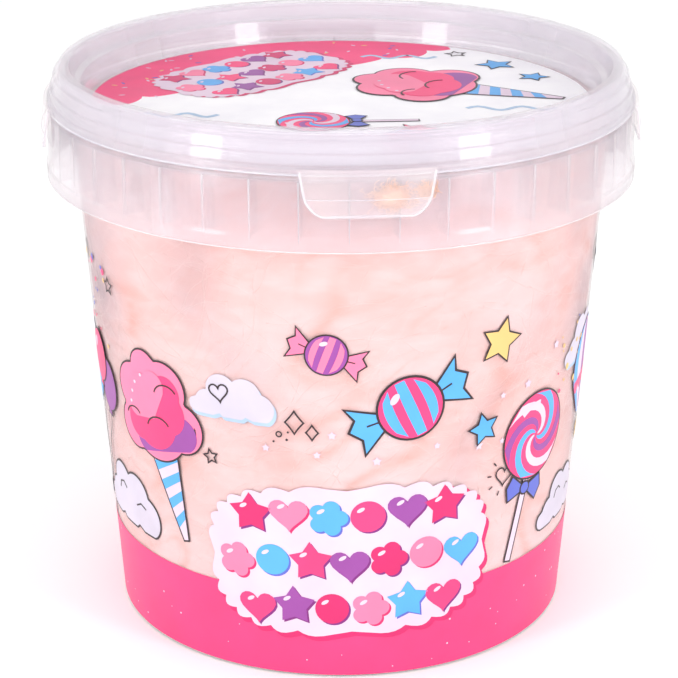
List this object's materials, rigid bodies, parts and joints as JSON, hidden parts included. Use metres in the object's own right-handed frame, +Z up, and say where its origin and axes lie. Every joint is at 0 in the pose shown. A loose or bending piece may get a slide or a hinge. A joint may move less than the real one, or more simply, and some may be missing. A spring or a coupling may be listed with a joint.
{
  "type": "tub of cotton candy",
  "caption": "Shut round see-through plastic tub with a press-on lid, pull tabs and a stiffened collar, filled to the lid with pale pink cotton candy.",
  "frame": {"origin": "middle of the foot ring's underside, on the tub's axis", "axes": "+Z up along the tub's axis; -Y towards the side that carries the front pull tab, +X to the right of a viewer who faces that side"},
  "size_m": [0.1358, 0.1358, 0.1288],
  "materials": {
    "tub_plastic": "milky see-through moulded polypropylene, satin gloss, with an in-mould print",
    "lid_plastic": "milky see-through moulded polypropylene, satin gloss, with a printed panel",
    "candy_floss": "soft matte spun sugar in fine tangled fibres, pale pink with deeper pink folds"
  },
  "bodies": {
    "root": {"tub": "tub_plastic", "lid": "lid_plastic", "candy": "candy_floss"}
  },
  "joints": []
}
